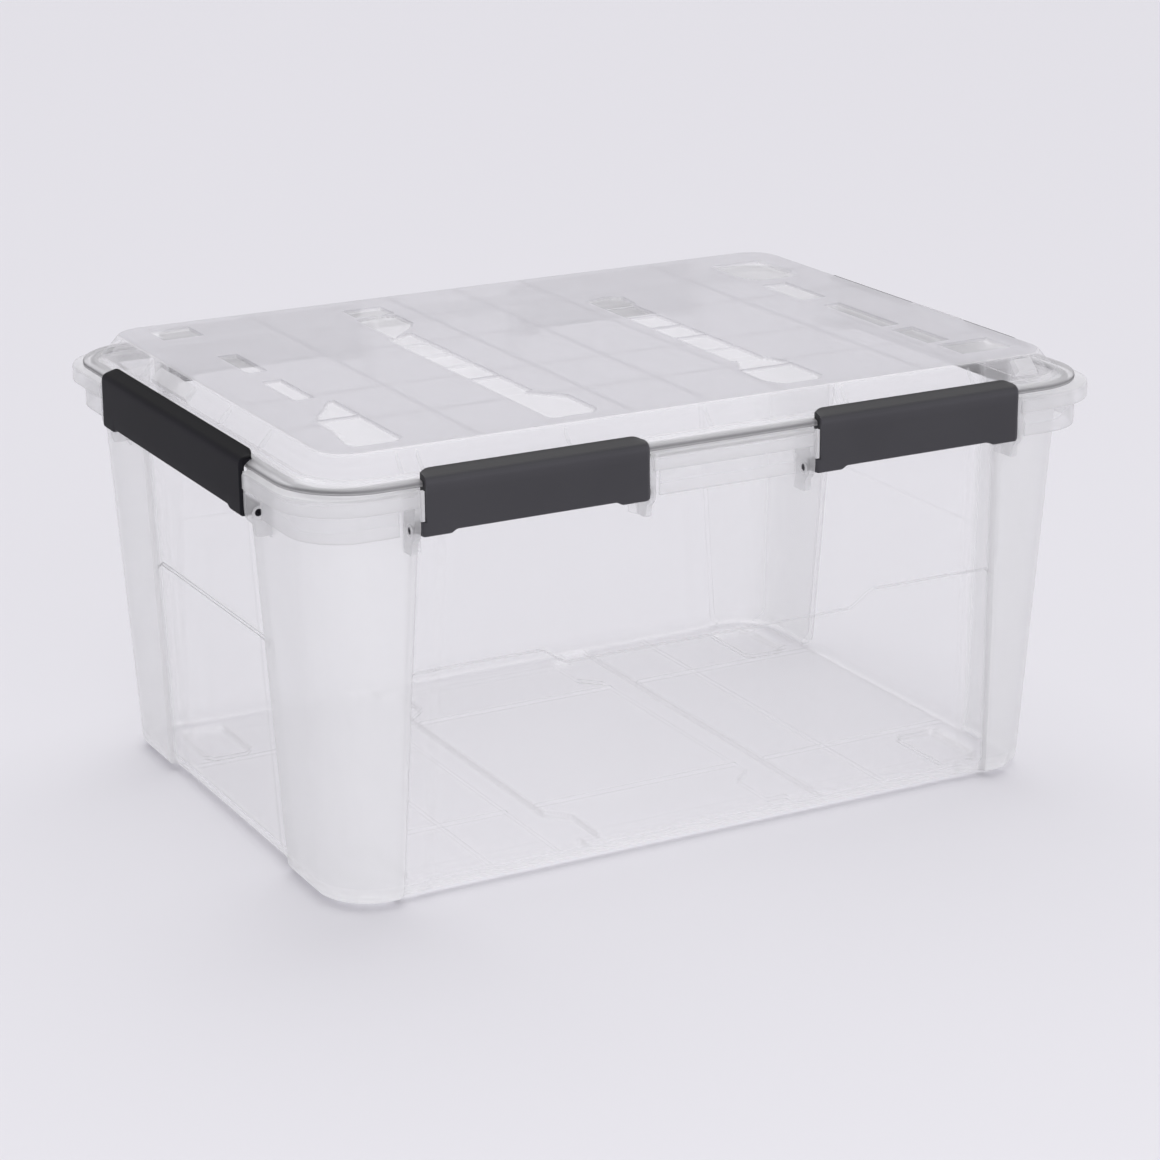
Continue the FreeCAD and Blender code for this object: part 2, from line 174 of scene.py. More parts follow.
class Loop:
    """The columns of a rounded rectangle, for the rings of a shell and the grid that closes it."""

    def __init__(self, half_x, half_y, radius, lines_x, lines_y):
        self.straight = (half_x - radius, half_y - radius)
        self.lines = []
        for half, extra in zip(self.straight, (lines_x, lines_y)):
            inner = [v for v in extra if abs(v) < half - END_GAP]
            values = sorted(set(np.round(inner, 3)) | {-half, half})
            kept = [values[0]]
            for v in values[1:]:
                if v - kept[-1] > LINE_GAP:
                    kept.append(v)
            kept[-1] = half
            corner = radius * np.tan(CORNER_ANGLES[1:])
            self.lines.append(np.concatenate([-half - corner[::-1], kept, half + corner]))
        nx, ny = len(self.lines[0]), len(self.lines[1])
        steps = [(i, 0) for i in range(nx - 1)] + [(nx - 1, j) for j in range(ny - 1)]
        steps += [(nx - 1 - i, ny - 1) for i in range(nx - 1)] + [(0, ny - 1 - j) for j in range(ny - 1)]
        self.edge = np.array(steps)
        points = np.stack([self.lines[axis][self.edge[:, axis]] for axis in (0, 1)], 1)
        limits = np.array(self.straight)
        base = np.clip(points, -limits, limits)
        out = points - base
        self.out = out / np.linalg.norm(out, axis=1)[:, None]
        self.part = base / limits

    def ring(self, inset, radius, z, knots=None, push=None):
        """Points of a ring at one inset, each drawn in by its push.

        knots has one (from, to) pair per axis: shares of the straight length, and where they move to.
        """
        straight = np.array([HALF_X - inset - radius, HALF_Y - inset - radius])
        part = self.part.copy()
        if knots is not None:
            for axis, (start, stop) in enumerate(knots):
                size = np.abs(part[:, axis])
                start, stop = [0, *start, 1], [0, *stop, 1]
                part[:, axis] = np.sign(part[:, axis]) * np.interp(size, start, stop)
        xy = part * straight + radius * self.out
        if push is not None:
            xy = xy - self.out * push[:, None]
        return np.column_stack([xy, np.broadcast_to(z, (len(xy),))])

    def grid(self):
        """x and y of every grid point, with the corners drawn in to quarter circles."""
        x, y = np.meshgrid(*self.lines, indexing="ij")
        base_x = np.clip(x, -self.straight[0], self.straight[0])
        base_y = np.clip(y, -self.straight[1], self.straight[1])
        dx, dy = x - base_x, y - base_y
        length = np.hypot(dx, dy)
        square = np.maximum(np.abs(dx), np.abs(dy))
        scale = np.where(length > 1e-9, square / np.maximum(length, 1e-9), 1.0)
        return base_x + dx * scale, base_y + dy * scale

    def close(self, build, rim, height, frost, painted_shade, up, scale=(1.0, 1.0)):
        """Fills the ring of vertex numbers rim with the grid at the given heights."""
        x, y = self.grid()
        index = np.full(x.shape, -1)
        index[self.edge[:, 0], self.edge[:, 1]] = rim
        inside = index < 0
        points = np.column_stack([x[inside] * scale[0], y[inside] * scale[1], height[inside]])
        index[inside] = build.add(points, frost[inside], painted_shade[inside])
        build.sheet(index, flip=not up)


def dense(low, high, step):
    return list(np.arange(low, high + 0.001, step))


def edges(*values, gap=1.3):
    """Grid lines along each edge and on both sides of it, so that a step there stays crisp."""
    return [s * v + d for v in values for s in (-1, 1) for d in (-gap, 0, gap)]


def polygon_depth(x, y, corners):
    """How far inside a convex polygon each point is, negative outside. Corners run anticlockwise."""
    depth = np.full(x.shape, FAR)
    for k, (ax, ay) in enumerate(corners):
        bx, by = corners[(k + 1) % len(corners)]
        length = math.hypot(bx - ax, by - ay)
        depth = np.minimum(depth, ((bx - ax) * (y - ay) - (by - ay) * (x - ax)) / length)
    return depth


def box_depth(x, y, x0, x1, y0, y1):
    return polygon_depth(x, y, [(x0, y0), (x1, y0), (x1, y1), (x0, y1)])


def mask(depth, soft=1.6):
    """1 inside an outline and 0 outside, softly over the distance soft."""
    return smooth_step(depth, -soft / 2, soft / 2)


def line_at(depth, width=1.0):
    """A thin line along an outline."""
    return np.exp(-((depth / width) ** 2))


# ---------------------------------------------------------------- tub

# The base and the walls meet at this height.
SEAM_Z = 14.0
FLOOR_INSET, FLOOR_CORNER = 42.0, 30.0
# One quarter of the floor: its pressed bar with the pad at the end, its foot, and its thin ribs.
BAR_NEAR, BAR_FAR, BAR_LENGTH = 81, 102, 172
PAD = [(66, 118), (BAR_NEAR, 104), (BAR_FAR, 104), (BAR_FAR, 156), (66, 156)]
FOOT = [(208, 106), (213, 101), (236, 101), (241, 106), (241, 152), (235, 158), (208, 158)]
RIB_X, RIBS_Y, RIB_HALF = 153, (91, 150), 0.8


def floor_relief(x, y):
    """How far the floor is pressed down and stands up in thin ribs, and how dark its painted lines of shade
    along the bars, feet and ribs are.
    """
    u, v = np.abs(x), np.abs(y)
    bars = np.maximum(box_depth(u, v, BAR_NEAR, BAR_FAR, -5, BAR_LENGTH), polygon_depth(u, v, PAD))
    feet = polygon_depth(u, v, FOOT)
    ribs = RIB_HALF - np.abs(u - RIB_X)
    for place in RIBS_Y:
        ribs = np.maximum(ribs, RIB_HALF - np.abs(v - place))
    down = mask(np.maximum(bars, feet))
    rib = mask(ribs, 1.2) * (1 - down)
    painted_shade = 0.5 * line_at(bars) + 0.5 * line_at(feet, 1.2) + 0.26 * rib
    return down, rib, painted_shade


def tub_knots(z, grow):
    """Where the panel edges are at height z, as shares of the straight length."""
    shares = []
    for half, panel in ((HALF_X, PANEL_LONG), (HALF_Y, PANEL_END)):
        straight = half - mixed(WALL_INSET, z) - mixed(WALL_CORNER, z)
        at = (mixed(panel, z) + grow) / straight
        shares.append(min(at, 0.995))
    return shares


# The columns that stand at the panel edges, as shares of the straight length, and columns beside them.
KNOT = (0.955, 0.7)
KNOT_STEPS = np.array([-3.2, -1.6, -0.8, 0.0, 0.8, 1.6, 3.2])
PILLAR_FROST, PANEL_FROST = 0.62, 0.03
# Where the bevel inside a panel edge begins and ends, how deep it is, and how much deeper low down.
BEVEL_NEAR, BEVEL_FAR, BEVEL_DEEP, BEVEL_DEEPER = 14, 24, 0.5, 1.1
# The step across the panels: its height on the ends and the long sides, and its dip in their middle.
STEP_END, STEP_LONG, STEP_DIP = 156.0, 155, 11
STEP_MIDDLE = 150


def make_tub(wall_plastic, base_plastic):
    """Three meshes: the walls with the rim and the brackets, the base, and the outer edge of the foot."""
    build = Build()
    half_x, half_y = HALF_X - FLOOR_INSET, HALF_Y - FLOOR_INSET
    straight_x, straight_y = half_x - FLOOR_CORNER, half_y - FLOOR_CORNER
    lines_x = dense(-228, 228, 1.7) + edges(BAR_NEAR, BAR_FAR, 66, 208, 241, RIB_X)
    lines_y = dense(-147, 147, 1.7) + edges(RIBS_Y[0])
    for sign in (-1, 1):
        lines_x += list(sign * (KNOT[0] * straight_x + KNOT_STEPS))
        lines_y += list(sign * (KNOT[1] * straight_y + KNOT_STEPS))
    loop = Loop(half_x, half_y, FLOOR_CORNER, lines_x, lines_y)
    ends = np.abs(loop.out[:, 0]) > 0.999
    # The back and the right end are seen through the front, and their painted shade lines show less.
    faint = np.where((loop.out[:, 0] > 0.3) | (loop.out[:, 1] > 0.3), 0.12, 1.0)
    # Painted light: the back pillars are made less milky, so that their milk, which is in shade, does not
    # look greyer than the rest.
    pillar_frost = PILLAR_FROST * (1 - 0.75 * smooth_step(loop.out[:, 1], 0.3, 0.9))

    def wall(z, thick):
        """One ring of the wall, thick inside its outer face, with its panels and its painted dark lines of
        shade along the panel edges and bevels.
        """
        knots = [((start,), (stop,)) for start, stop in zip(KNOT, tub_knots(z, thick))]
        share = np.where(ends, np.abs(loop.part[:, 1]) / KNOT[1], np.abs(loop.part[:, 0]) / KNOT[0])
        straight = np.where(ends, straight_y * KNOT[1], straight_x * KNOT[0])
        from_edge = (1 - share) * straight
        on_side = np.abs(np.abs(loop.out).max(axis=1) - 1) < 1e-6
        panel = smooth_step(from_edge, -1.7, 1.7) * on_side
        bevel = smooth_step(from_edge, BEVEL_NEAR, BEVEL_FAR) * on_side * np.where(ends, 0.35, 1.0)
        deep = BEVEL_DEEP + (BEVEL_DEEPER if z < STEP_MIDDLE else 0.0)
        push = PANEL_STEP * panel + thick + deep * bevel
        bevel_middle = (BEVEL_NEAR + BEVEL_FAR) / 2
        line = line_at(from_edge, 1.5) + 0.35 * line_at(from_edge - bevel_middle, 2.5)
        points = loop.ring(mixed(WALL_INSET, z), mixed(WALL_CORNER, z), z, knots, push)
        return points, panel, line * on_side * faint

    def step_height(points):
        """The height of the step in the panels, which dips towards the middle of the long sides."""
        dip = STEP_DIP * (1 - smooth_step(np.abs(points[:, 0]), 106, 128))
        return np.where(ends, STEP_END, STEP_LONG - dip)

    def add_wall(part, z, thick, frost_more=0.0, lift=None, painted_shade_more=0.0):
        """Adds a ring of the wall. lift places its panels that far above the step instead."""
        points, panel, line = wall(z, thick)
        if lift is not None:
            height = step_height(points) + lift
            points[:, 2] = z * (1 - panel) + height * panel
        frost = pillar_frost * (1 - panel) + PANEL_FROST * panel + frost_more * faint
        # Painted shade along the step in the panels: stronger on the ends, weak on the right end and the
        # back.
        step = np.where(ends, 1.6, 1.0) * np.where(loop.out[:, 0] > 0.5, 0.1, faint)
        return part.add(points, frost, 0.35 * line + painted_shade_more * panel * step)

    # The base: the floor with its feet, and the lowest part of the walls.
    base, edge = Build(), Build()
    x, y = loop.grid()
    down, rib, floor_painted_shade = floor_relief(x, y)
    fade = smooth_step(np.minimum(half_x - np.abs(x), half_y - np.abs(y)), 0.5, 5)
    down, rib, floor_painted_shade = down * fade, rib * fade, floor_painted_shade * fade
    floor_frost = np.zeros(x.shape)
    floor_z = FOOT_Z + FLOOR
    floor_low = base.add(loop.ring(FLOOR_INSET, FLOOR_CORNER, FOOT_Z), 0.02)
    loop.close(base, floor_low, FOOT_Z * (1 - down), floor_frost, floor_painted_shade, up=False)
    outside = [edge.add(loop.ring(FLOOR_INSET, FLOOR_CORNER, FOOT_Z), 0.02)]
    foot_curve = ((FOOT_Z, 4.5, 1.8), (FOOT_Z + 0.9, 1.8, 1.8), (FOOT_Z + 3.0, 0.45, 1.4), (7.5, 0.0, 0.8))
    outside += [add_wall(edge, z, thick, frost) for z, thick, frost in foot_curve]
    outside.append(add_wall(edge, SEAM_Z, 0.0))
    floor_high = base.add(loop.ring(FLOOR_INSET, FLOOR_CORNER, floor_z), 0.05)
    inner_curve = ((SEAM_Z, 0.0), (9.0, 0.5), (floor_z + 1.4, 1.9), (floor_z, 3.6))
    inside = [add_wall(base, z, WALL + fillet) for z, fillet in inner_curve] + [floor_high]
    for part, rows in ((edge, outside), (base, inside)):
        for low, high in zip(rows, rows[1:]):
            part.bridge(low, high)
    top = floor_z - FOOT_Z * down + 0.9 * rib
    loop.close(base, floor_high, top, floor_frost, floor_painted_shade, up=True)

    # The walls: up the outside, over the rim, and down the inside.
    rows = [add_wall(build, z, 0.0) for z in (SEAM_Z, 30, 60, 90, 120, 138)]
    rows += step_rows(build, add_wall, 0.0)
    rows += [add_wall(build, z, 0.0) for z in (166, 190, 215, 240, 256, 270, RIM_TOP - 3.2)]
    for z in (RIM_TOP - RIM_PLATE, RIM_TOP):
        rows.append(build.add(loop.ring(RIM_REACH, RIM_CORNER - RIM_REACH, z), 0.3))
    rows.append(build.add(wall(RIM_TOP - 0.01, WALL - 0.4)[0], 0.3))
    rows += [add_wall(build, z, WALL) for z in (RIM_TOP - 0.6, 270, 256, 240, 215, 190, 166)]
    rows += step_rows(build, add_wall, WALL)[::-1]
    rows += [add_wall(build, z, WALL) for z in (138, 120, 90, 60, 30, SEAM_Z)]
    for low, high in zip(rows, rows[1:]):
        build.bridge(low, high)
    add_rim(build)
    add_brackets(build)
    # The walls cast shadows, but don't darken what lies beside them.
    walls = finish_tub(build, "tub_walls", wall_plastic)
    walls.visible_diffuse = False
    lets_light_by(finish_tub(base, "tub_base", base_plastic))
    finish_tub(edge, "tub_foot_edge", wall_plastic)


def finish_tub(part, name, material):
    piece = part.make(name, material, smooth=28)
    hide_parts("tub")
    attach(piece, "tub_body")
    return piece


def step_rows(build, add_wall, thick):
    """The four rings of the step across the panels, from below to above; the middle two carry a painted line
    of shade.
    """
    heights = ((149.0, -1.0, 0.0), (149.5, -0.45, 0.5), (150.5, 0.45, 0.5), (151.0, 1.0, 0.0))
    return [add_wall(build, z, thick, lift=lift, painted_shade_more=painted_shade) for z, lift, painted_shade in heights]


def lets_light_by(piece):
    """Thin clear plastic hardly darkens what is around it, so this piece casts no shadow."""
    piece.visible_shadow = False
    piece.visible_diffuse = False


SIDES = ["front", "right", "back", "left"]
STATION_GAP = 12


def side_frame(side):
    """(direction along the side, outward direction, distance to the rim's face) of a side."""
    return {
        "front": ((1, 0), (0, -1), HALF_Y),
        "right": ((0, 1), (1, 0), HALF_X),
        "back": ((-1, 0), (0, 1), HALF_Y),
        "left": ((0, -1), (-1, 0), HALF_X),
    }[side]


def beside(side, along, inset, z):
    """A point at a place along a side, at an inset and a height."""
    (ax, ay), (ox, oy), reach = side_frame(side)
    out = reach - inset
    return (ax * along + ox * out, ay * along + oy * out, z)


def rim_path(start, stop):
    """Stations along the rim: the centre's x and y, and the outward direction's.

    start and stop are (side, place along it), and the walk goes anticlockwise.
    """
    stations = []
    side, place = start
    while True:
        (ax, ay), (ox, oy), reach = side_frame(side)
        across = reach - RIM_CORNER
        straight = (HALF_X if side in ("front", "back") else HALF_Y) - RIM_CORNER
        last = side == stop[0] and stop[1] > place
        end = stop[1] if last else straight
        count = max(2, int(abs(end - place) / STATION_GAP) + 1)
        for t in np.linspace(place, end, count):
            stations.append((ax * t + ox * across, ay * t + oy * across, ox, oy))
        if last:
            return np.array(stations)
        cx, cy = ax * straight + ox * across, ay * straight + oy * across
        for angle in np.radians(np.linspace(0, 90, 13)[1:-1]):
            c, s = math.cos(angle), math.sin(angle)
            stations.append((cx, cy, ox * c + ax * s, oy * c + ay * s))
        side = SIDES[(SIDES.index(side) + 1) % 4]
        place = -(HALF_X if side in ("front", "back") else HALF_Y) + RIM_CORNER


def sweep(build, profile, start, stop, frost, painted_shade):
    """A closed profile of (inset, z), carried along the rim, with one value of painted shade for each point
    of it.
    """
    rows = [build.add(profile_at(profile, station), frost, painted_shade) for station in rim_path(start, stop)]
    for low, high in zip(rows, rows[1:]):
        build.bridge(low, high)
    build.face(rows[0])
    build.face(rows[-1][::-1])


def profile_at(profile, station):
    """A profile of (inset, z) at one station of the rim's path."""
    cx, cy, ox, oy = station
    return [(cx + ox * (RIM_CORNER - s), cy + oy * (RIM_CORNER - s), z) for s, z in profile]


def own_place(side, value):
    """A place along a side, counted the way rim_path walks."""
    return -value if side in ("back", "left") else value


def rim_gaps():
    """The rim's six stretches between latches, as (start, stop), anticlockwise."""
    order = ["front_left", "front_right", "right", "back_right", "back_left", "left"]
    gaps = []
    for a, b in zip(order, order[1:] + order[:1]):
        side_a, middle_a, half_a = LATCHES[f"latch_{a}"]
        side_b, middle_b, half_b = LATCHES[f"latch_{b}"]
        start = own_place(side_a, middle_a) + half_a + LATCH_PLAY + FIN / 2
        stop = own_place(side_b, middle_b) - half_b - LATCH_PLAY - FIN / 2
        gaps.append(((side_a, start), (side_b, stop)))
    return gaps


# How far the inner skirt ends short of a latch's bracket.
SKIRT_GAP = 9


def add_rim(build):
    """Outer skirt with the top plate, and the deeper inner skirt."""
    top, under = RIM_TOP, RIM_TOP - RIM_PLATE
    outer = [(0.3, 271), (0, 271.4), (0, top - 2.6), (0.25, top - 1.3), (1.0, top - 0.4), (2.2, top)]
    outer += [(RIM_REACH, top), (RIM_REACH, under), (3.2, under), (2.5, top - 3.8), (2.4, 271.3), (2.1, 271)]
    inner = [(8.6, 252), (8.3, 252.4), (8.3, top - 2.9), (10.8, top - 2.9), (10.7, 252.4), (10.4, 252)]
    # Painted shade along the edges of both skirts, one value for each point of their profiles.
    outer_painted_shade = [0.3, 0.1, 0.0, 0.15, 0.2, 0.1, 0.0, 0.0, 0.0, 0.0, 0.1, 0.3]
    inner_painted_shade = [0.35, 0.15, 0.0, 0.0, 0.15, 0.35]
    for (side_a, start), (side_b, stop) in rim_gaps():
        sweep(build, outer, (side_a, start), (side_b, stop), 0.5, outer_painted_shade)
        inner_ends = (side_a, start + SKIRT_GAP), (side_b, stop - SKIRT_GAP)
        sweep(build, inner, *inner_ends, 0.4, inner_painted_shade)


def add_brackets(build):
    """Fins at both ends of every latch."""
    for side, middle, half in LATCHES.values():
        centre = own_place(side, middle)
        for sign in (-1, 1):
            near = centre + sign * (half + LATCH_PLAY)
            add_fin(build, side, near, sign)


def add_fin(build, side, near, sign):
    """A fin with a bored boss and a tab below, and a lip beside the latch on its low end only."""
    far = near + sign * FIN
    turns = round_steps(FIN_POINTS)
    hole = [(PIVOT_INSET - BORE * c, PIVOT_Z + BORE * s) for c, s in turns]
    loops = []
    for t in (near, far):
        # The fin, its bore and the tab below are milky, with a little painted shade along their edges.
        ring = build.add([beside(side, t, s, z) for s, z in fin_outline()], 0.6, 0.15)
        bore = build.add([beside(side, t, s, z) for s, z in hole], 0.8, 0.1)
        loops.append((ring, bore))
        build.bridge(ring, bore)
    build.bridge(loops[0][0], loops[1][0])
    build.bridge(loops[1][1], loops[0][1])
    boss = []
    for r, out in ((4.4, 0.0), (4.3, 0.5), (3.9, 0.7), (2.9, 0.7), (BORE, 0.4), (BORE, 0.0)):
        t = far + sign * out
        circle = [beside(side, t, PIVOT_INSET - r * c, PIVOT_Z + r * s) for c, s in turns]
        boss.append(build.add(circle, 1.2))
    for low, high in zip(boss, boss[1:]):
        build.bridge(low, high)
    if sign < 0:
        heights, insets, places = (262.4, RIM_TOP - 0.4), (3.0, 0.3), (near, near + 2.2)
        lip = [beside(side, t, s, z) for z in heights for s in insets for t in places]
        build.block(lip, 1.6)
    tab_start, tab_stop = sorted((far, far - sign * 11))
    ends = ((tab_start, 241.5), (tab_stop, 237.5))
    tab = [beside(side, t, s, foot) for s in (16.9, 18.9) for t, foot in ends]
    tab += [beside(side, t, s, 262) for s in (16.6, 18.6) for t, _ in ends]
    build.block(tab, 0.35, 0.1)


FIN_POINTS = 24


def fin_outline():
    """FIN_POINTS points round a fin, in step with the points of its bore."""
    low, high, front, back = 239.0, RIM_TOP - 0.05, 1.5, 20.0
    corners = [(front, 257), (front, 270), (front, high), (5, high), (9.5, high), (14, high), (back, high)]
    corners += [(back, 275), (back, 268), (back, 262), (back, 257), (back, 255), (back, 251), (back, 247)]
    corners += [(back, 243), (back, low), (16, low), (13, low), (10.5, low), (8.2, low + 0.4), (7, low + 3)]
    corners += [(6.6, 247), (4.0, 249.6), (2.2, 252)]
    return corners


# ---------------------------------------------------------------- lid


def lid_tracks():
    """The recesses on top of the lid, as convex outlines in x and y."""
    # the two long inner tracks, each with wide pads at the ends
    inner = [
        [(-109, -90), (-87, -88), (-87, 76), (-109, 66)],
        [(-109, -168), (-104, -174), (-77, -172), (-72, -164), (-72, -128), (-93, -105), (-109, -105)],
        [(-109, -106), (-87, -106), (-87, -88), (-109, -88)],
        [(-104, 68), (-80, 92), (-73, 104), (-73, 130), (-84, 136), (-104, 130)],
        [(-101, 136), (-72, 136), (-72, 160), (-101, 160)],
        [(66, -92), (90, -92), (90, 74), (66, 74)],
        [(58, -160), (66, -172), (92, -172), (98, -165), (98, -122), (90, -104), (71, -104), (58, -128)],
        [(66, -105), (90, -105), (90, -91), (66, -91)],
        [(66, 74), (92, 74), (96, 100), (84, 106), (66, 100)],
    ]
    # the end tracks
    outer = [
        [
            (-249, -160),
            (-243, -172),
            (-215, -172),
            (-210, -166),
            (-210, -66),
            (-231, -66),
            (-236, -99),
            (-249, -118),
        ],
        [(-231, -53), (-218, -53), (-218, 1), (-231, 1)],
        [(-230, 28), (-217, 28), (-217, 80), (-230, 80)],
        [(-245, 143), (-216, 143), (-216, 169), (-245, 169)],
        [(204, 112), (212, 96), (240, 96), (247, 112), (247, 155), (204, 155)],
        [(204, 26), (224, 26), (224, 80), (204, 80)],
        [(209, -72), (222, -72), (222, 4), (209, 4)],
        [(209, -128), (226, -128), (226, -84), (209, -84)],
        [(212, -165), (250, -165), (250, -136), (212, -136)],
    ]
    return inner + outer


def lid_bars(x, y):
    """Cross ribs that interrupt the narrow tracks."""
    bars = np.full(x.shape, -FAR)
    for place in (-60, -22, 12, 46):
        bars = np.maximum(bars, box_depth(x, y, -112, -84, place - 0.9, place + 0.9))
        bars = np.maximum(bars, box_depth(x, y, 63, 93, place - 8.9, place - 7.1))
    bars = np.maximum(bars, box_depth(x, y, 56, 100, -128.9, -127.1))
    bars = np.maximum(bars, box_depth(x, y, -252, -208, -106.9, -105.1))
    return mask(bars, 1.2)


# The plateau's edge, on top and underneath, and how deep its tracks are.
PLATEAU_INSET, PLATEAU_CORNER = 33.0, 20.0
UNDER_INSET, UNDER_CORNER = 36.0, 18.0
LID_THICK, TRACK_DEEP = 2.5, 2.0
# The lines of the thin ribs under the plateau.
CELLS_X, CELLS_Y = (-165, -55, 0, 55, 165), (-118, -48, 48, 118)


def make_lid(material):
    build = Build()
    corners = np.concatenate(lid_tracks())
    lines_x = dense(-232, 232, 1.7) + [v + d for v in set(corners[:, 0]) for d in (-0.8, 0.8)]
    lines_y = dense(-164, 164, 1.7) + [v + d for v in set(corners[:, 1]) for d in (-0.8, 0.8)]
    loop = Loop(HALF_X - PLATEAU_INSET, HALF_Y - PLATEAU_INSET, PLATEAU_CORNER, lines_x, lines_y)
    x, y = loop.grid()
    depth = np.full(x.shape, -FAR)
    for outline in lid_tracks():
        depth = np.maximum(depth, polygon_depth(x, y, outline))
    track = mask(depth, 1.8) * (1 - lid_bars(x, y))
    cells = np.full(x.shape, FAR)
    for line, places in ((x, CELLS_X), (y, CELLS_Y)):
        for place in places:
            cells = np.minimum(cells, np.abs(line - place))
    ribs = line_at(cells, 2.4) * (1 - track)
    frost = 1.0 - 0.62 * track
    # Painted shade: dark lines along the tracks' edges and over the thin ribs under the plateau.
    painted_shade = 0.5 * track * (1 - track) + 0.08 * line_at(depth - 0.4) + 0.15 * ribs

    def ring(inset, z, radius, frost, line=0.0):
        return build.add(loop.ring(inset, radius, z), frost, line)

    # From the outer edge's underside, over the flange and up the sloping wall.
    # The last number of a ring is painted shade: dark bands along the lid's outer edge and flange, with
    # lighter lines between them.
    outer = [
        ring(6.0, LID_LOW, 49.2, 0.2, 0.3),
        ring(5.3, LID_LOW + 0.3, 49.9, 0.2, 1.1),
        ring(5.2, LID_LOW + 0.7, 50, 0.2, 1.2),
        ring(5.2, 283.7, 50, 0.2, 0.8),
        ring(5.2, 284.3, 50, 0.2, 1.2),
        ring(5.3, 285.2, 49.9, 0.2, 1.2),
        ring(5.8, 285.9, 49.4, 0.2, 0.7),
        ring(6.6, 286.3, 48.6, 0.35, 0.35),
        ring(9.0, 286.9, 46.2, 0.30, 0.30),
        ring(14.0, 287.8, 42.0, 0.22, 0.05),
        ring(17.6, 288.4, 38.8, 0.22),
        ring(18.6, 288.6, 38.0, 0.25, 0.15),
        ring(19.1, 289.0, 37.5, 0.2, 0.05),
        ring(19.8, 289.9, 36.6, 0.14),
        ring(24.5, 295.0, 31.0, 0.10),
        ring(29.6, 300.6, 24.5, 0.14),
        ring(30.4, 301.3, 23.4, 0.25),
        ring(31.2, 301.7, 22.3, 0.55, 0.12),
        ring(32.0, 301.9, 21.2, 0.9, 0.06),
        ring(PLATEAU_INSET, TOP, PLATEAU_CORNER, 1.0),
    ]
    for low, high in zip(outer, outer[1:]):
        build.bridge(low, high)
    loop.close(build, outer[-1], TOP - TRACK_DEEP * track, frost, painted_shade, up=True)
    # Back down inside the wall, round the lip and the seal's channel, to the outer edge.
    under = [
        ring(UNDER_INSET, TOP - LID_THICK, UNDER_CORNER, 0.3),
        ring(33.8, 298.6, 20.0, 0.15),
        ring(28.0, 292.4, 27.0, 0.06),
        ring(22.4, 286.3, 34.0, 0.08),
        ring(26.5, 286.0, 35.0, 0.12),
        ring(26.5, 272.4, 35.5, 0.12),
        ring(26.1, 272.0, 35.9, 0.2, 0.1),
        ring(24.4, 272.0, 37.6, 0.2, 0.1),
        ring(24.0, 272.4, 38.0, 0.12),
        ring(24.0, LID_LOW, 38.0, 0.12),
        ring(18.0, LID_LOW, 37.2, 0.12),
        ring(18.0, 285.4, 37.2, 0.12),
        ring(13.2, 285.4, 42.0, 0.12),
        ring(13.2, LID_LOW, 42.0, 0.12),
        outer[0],
    ]
    for low, high in zip(under, under[1:]):
        build.bridge(low, high)
    below = TOP - LID_THICK - TRACK_DEEP * track - 1.0 * ribs
    scale_x = (HALF_X - UNDER_INSET) / (HALF_X - PLATEAU_INSET)
    scale_y = (HALF_Y - UNDER_INSET) / (HALF_Y - PLATEAU_INSET)
    loop.close(build, under[0], below, 0.3 * frost, 0.0 * painted_shade, up=False, scale=(scale_x, scale_y))
    add_gussets(build)
    add_pockets(build)
    lid = build.make("lid_shell", material, smooth=26)
    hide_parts("lid")
    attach(lid, "lid_body")
    lets_light_by(lid)


def add_gussets(build):
    """Thin webs on the inside of the lid's sloping wall."""
    spots = [("front", v) for v in (-222, -208, -105, -3, 95, 101, 202)]
    spots += [("back", v) for v in (-202, -98, 3, 105, 208)]
    spots += [("left", v) for v in (-96, -30, 60, 110)] + [("right", v) for v in (-110, -40, 40, 96)]
    web = ((23.2, 286.6), (33.6, 297.8), (33.6, 294.0), (27.5, 286.6))
    for side, middle in spots:
        t = own_place(side, middle)
        v = build.add([beside(side, along, s, z) for along in (t - 0.7, t + 0.7) for s, z in web], 0.22)
        build.face([v[k] for k in (0, 1, 2, 3)])
        build.face([v[k] for k in (7, 6, 5, 4)])
        for a in range(4):
            b = (a + 1) % 4
            build.face([v[a], v[a + 4], v[b + 4], v[b]])


def add_pockets(build):
    """Small hollow bosses that stand out of the lid's sloping wall near its corners."""
    spots = [("left", -78, -14), ("right", -78, -14), ("front", 232, 250), ("back", 232, 250)]
    for side, start, stop in spots:
        corners = []
        for lift in (0.0, 5.0):
            for s, z in ((20.6, 290.6 + lift * 0.7), (28.2, 299.2 + lift * 0.3)):
                height = min(z, TOP - 0.4)
                for t in (start + lift * 0.4, stop - lift * 0.4):
                    corners.append(beside(side, t, s - lift * 0.3, height))
        # Milky, with a little painted shade.
        build.block(corners, 0.42, 0.1)


def make_seal(material):
    """An oval ring, once round the bin in the channel under the lid's flange."""
    build = Build()
    profile = [(15.6 - 2.2 * c, 283.85 + 1.5 * s) for c, s in round_steps(12)]
    stations = rim_path(("front", 0.0), ("front", -0.001))
    rows = [build.add(profile_at(profile, station)) for station in stations[:-1]]
    for low, high in zip(rows, rows[1:] + rows[:1]):
        build.bridge(low, high)
    seal = build.make("seal_ring", material, smooth=60)
    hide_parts("lid_seal")
    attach(seal, "lid_body")


# ---------------------------------------------------------------- latches


# The latch's outer and inner faces, outward from the pivot, and the height of its tip above it.
PLATE_OUT, PLATE_IN, TIP_UP = 9.5, 6.7, 38.3
# The legs at both ends, which carry the trunnions.
LEG_LENGTH, LEG_IN, LEG_LOW = 21.0, -3.2, -2.8
# The plate is cut away to this height where the rim's lip stands beside it.
NOTCH_LENGTH, NOTCH_TOP = 2.65, 6.4


